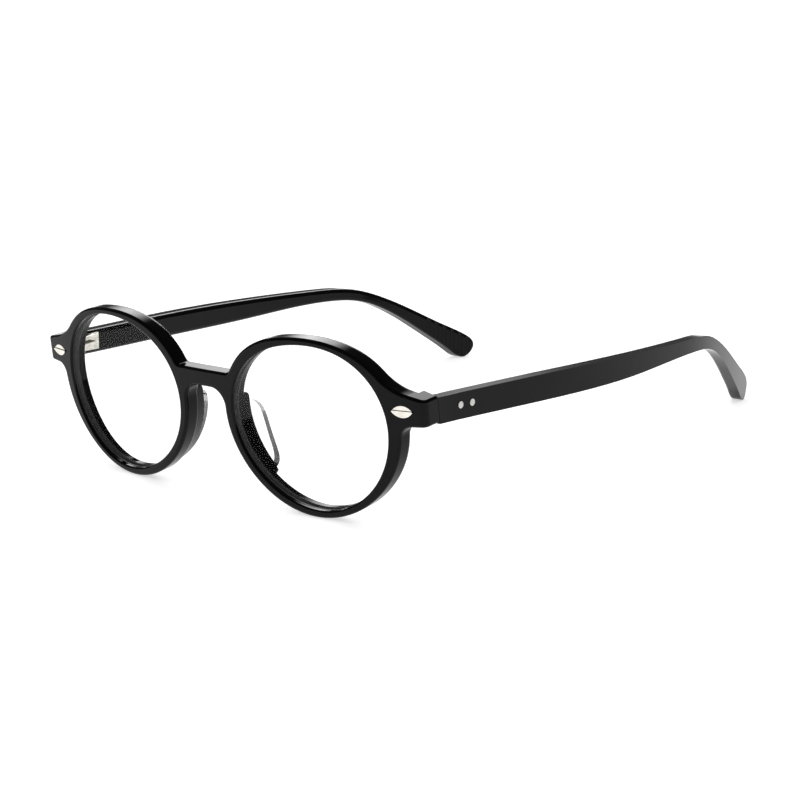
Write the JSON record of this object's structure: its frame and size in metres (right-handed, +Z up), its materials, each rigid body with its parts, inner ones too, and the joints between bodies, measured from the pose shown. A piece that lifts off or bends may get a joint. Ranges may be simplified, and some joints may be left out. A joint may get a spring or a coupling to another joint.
{
  "type": "round eyeglasses",
  "caption": "Round-lens eyeglasses with a thick glossy black acetate front, clear nose pads and folding temples with curved tips.",
  "frame": {"origin": "centre of the space the open glasses take up, at the height of the table they stand on", "axes": "+X towards the wearer's left, +Y back along the temples, +Z up"},
  "size_m": [0.1358, 0.1624, 0.0431],
  "materials": {
    "black_acetate": "polished black acetate",
    "demo_lens": "clear, untinted",
    "clear_pad": "clear acetate",
    "plaque_metal": "polished nickel silver",
    "hinge_metal": "nickel silver",
    "rivet_metal": "flush polished",
    "screw_steel": "steel",
    "core_wire": "drawn wire"
  },
  "bodies": {
    "front": {"front_frame": "black_acetate", "lens_left": "demo_lens", "nose_pad_left": "clear_pad", "plaque_left": "plaque_metal", "hinge_front_leaf_left": "hinge_metal", "hinge_screw_left": "screw_steel", "lens_right": "demo_lens", "nose_pad_right": "clear_pad", "plaque_right": "plaque_metal", "hinge_front_leaf_right": "hinge_metal", "hinge_screw_right": "screw_steel"},
    "temple_left": {"temple_left": "black_acetate", "temple_core_left": "core_wire", "hinge_temple_leaf_left": "hinge_metal", "temple_rivet_front_left": "rivet_metal", "temple_rivet_rear_left": "rivet_metal"},
    "temple_right": {"temple_right": "black_acetate", "temple_core_right": "core_wire", "hinge_temple_leaf_right": "hinge_metal", "temple_rivet_front_right": "rivet_metal", "temple_rivet_rear_right": "rivet_metal"}
  },
  "joints": [
    {"name": "temple_fold_left", "type": "hinge", "parent": "front", "child": "temple_left", "pos_m": [0.0582, -0.06939, 0.0288], "axis": [0, -0.0889, 0.996], "range_deg": [0, 90]},
    {"name": "temple_fold_right", "type": "hinge", "parent": "front", "child": "temple_right", "pos_m": [-0.0582, -0.06939, 0.0288], "axis": [0, 0.0889, -0.996], "range_deg": [0, 81]}
  ]
}
